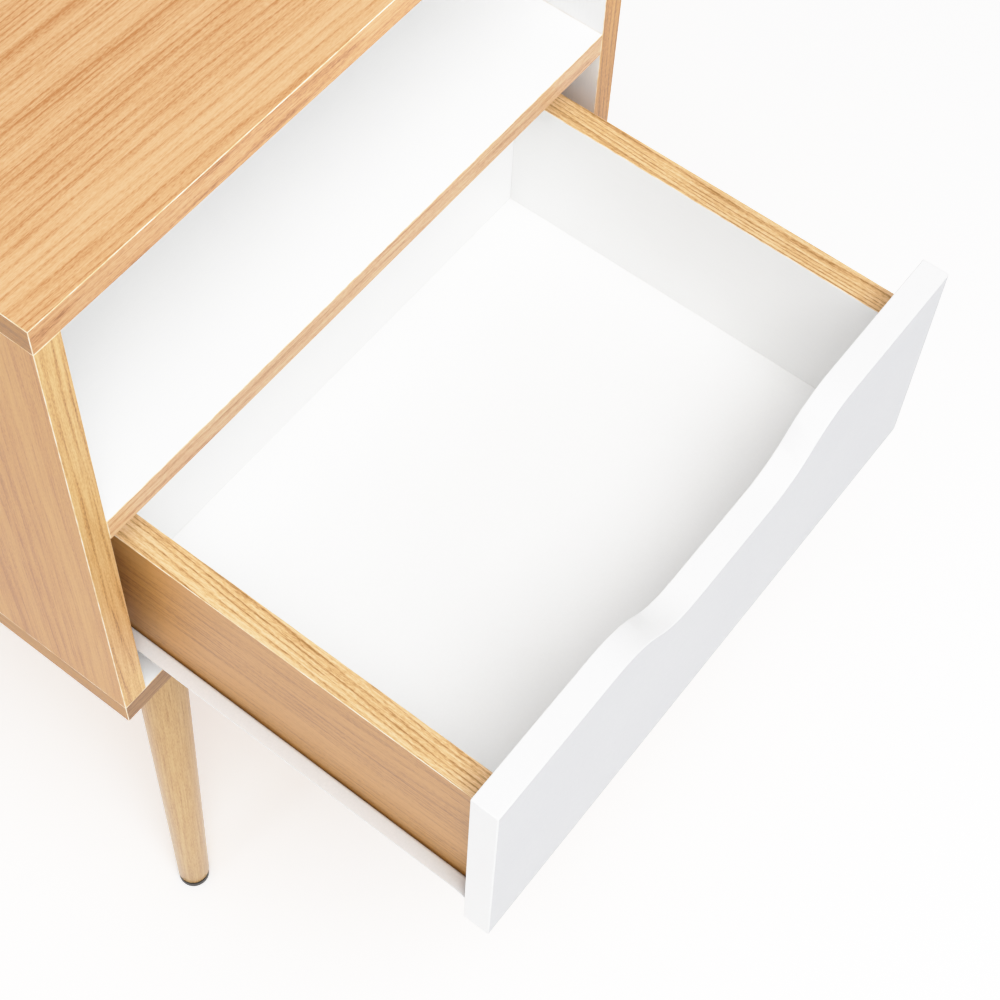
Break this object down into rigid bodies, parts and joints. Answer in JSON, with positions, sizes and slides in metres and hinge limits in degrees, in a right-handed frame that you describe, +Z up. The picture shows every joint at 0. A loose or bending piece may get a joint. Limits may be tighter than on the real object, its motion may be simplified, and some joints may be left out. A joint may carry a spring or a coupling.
{
  "type": "nightstand",
  "caption": "Low bedside cabinet with an open shelf over a shallow drawer with a wavy finger dip, on splayed round legs.",
  "frame": {"origin": "on the floor, under the middle of the whole piece with its drawer pulled out to the stop", "axes": "+X to the right seen from the front, +Y towards the back, +Z up through the top surface; the drawer closes along +Y"},
  "size_m": [0.4, 0.5208, 0.6],
  "materials": {
    "oak_laminate": "oak-grain melamine laminate, satin",
    "white_laminate": "white melamine laminate, fine satin",
    "white_hardboard": "white-lacquered hardboard, semi-gloss",
    "solid_wood": "clear-lacquered solid wood, satin",
    "dowel_wood": "plain turned hardwood",
    "white_steel": "white epoxy-coated sheet steel",
    "zinc_steel": "bright zinc-plated steel",
    "zinc_diecast": "die-cast zinc, matt",
    "nylon": "natural nylon",
    "black_plastic": "black polyethylene, matt"
  },
  "bodies": {
    "cabinet": {"top_panel": "oak_laminate", "bottom_panel": "oak_laminate", "left_side_panel": "oak_laminate", "right_side_panel": "oak_laminate", "shelf_panel": "white_laminate", "back_panel": "white_hardboard", "cam_locks": "zinc_diecast", "cam_bolts": "zinc_steel", "carcass_dowels": "dowel_wood", "carcass_screws": "zinc_steel", "left_cabinet_rail": "white_steel", "right_cabinet_rail": "white_steel", "cabinet_rail_screws": "zinc_steel", "cabinet_roller_pins": "zinc_steel", "leg_front_left": "solid_wood", "leg_front_right": "solid_wood", "leg_rear_left": "solid_wood", "leg_rear_right": "solid_wood", "leg_plate_front_left": "zinc_steel", "leg_plate_front_right": "zinc_steel", "leg_plate_rear_left": "zinc_steel", "leg_plate_rear_right": "zinc_steel", "foot_pad_front_left": "black_plastic", "foot_pad_front_right": "black_plastic", "foot_pad_rear_left": "black_plastic", "foot_pad_rear_right": "black_plastic", "leg_plate_screws": "zinc_steel", "leg_hanger_bolts": "zinc_steel"},
    "drawer": {"drawer_front": "white_laminate", "drawer_left_side": "oak_laminate", "drawer_right_side": "oak_laminate", "drawer_back": "white_laminate", "drawer_bottom": "white_hardboard", "drawer_dowels": "dowel_wood", "drawer_back_screws": "zinc_steel", "drawer_bottom_screws": "zinc_steel", "left_drawer_rail": "white_steel", "right_drawer_rail": "white_steel", "drawer_rail_screws": "zinc_steel", "drawer_roller_pins": "zinc_steel"},
    "left_front_roller": {"left_cabinet_roller": "nylon"},
    "right_front_roller": {"right_cabinet_roller": "nylon"},
    "left_rear_roller": {"left_drawer_roller": "nylon"},
    "right_rear_roller": {"right_drawer_roller": "nylon"}
  },
  "joints": [
    {"name": "drawer_slide", "type": "slide", "parent": "cabinet", "child": "drawer", "axis": [0, 1, 0], "range_m": [0, 0.215]},
    {"name": "left_cabinet_roller_spin", "type": "hinge", "parent": "cabinet", "child": "left_front_roller", "pos_m": [-0.179, -0.01989, 0.2937], "axis": [1, 0, 0], "continuous": true},
    {"name": "left_drawer_roller_spin", "type": "hinge", "parent": "drawer", "child": "left_rear_roller", "pos_m": [-0.1785, -0.00279, 0.29], "axis": [1, 0, 0], "continuous": true},
    {"name": "right_cabinet_roller_spin", "type": "hinge", "parent": "cabinet", "child": "right_front_roller", "pos_m": [0.179, -0.01989, 0.2937], "axis": [1, 0, 0], "continuous": true},
    {"name": "right_drawer_roller_spin", "type": "hinge", "parent": "drawer", "child": "right_rear_roller", "pos_m": [0.1785, -0.00279, 0.29], "axis": [1, 0, 0], "continuous": true}
  ],
  "couplings": [
    {"joint": "left_cabinet_roller_spin", "follows": "drawer_slide", "rad_per_m": -125},
    {"joint": "left_drawer_roller_spin", "follows": "drawer_slide", "rad_per_m": -133.33},
    {"joint": "right_cabinet_roller_spin", "follows": "drawer_slide", "rad_per_m": -125},
    {"joint": "right_drawer_roller_spin", "follows": "drawer_slide", "rad_per_m": -133.33}
  ]
}
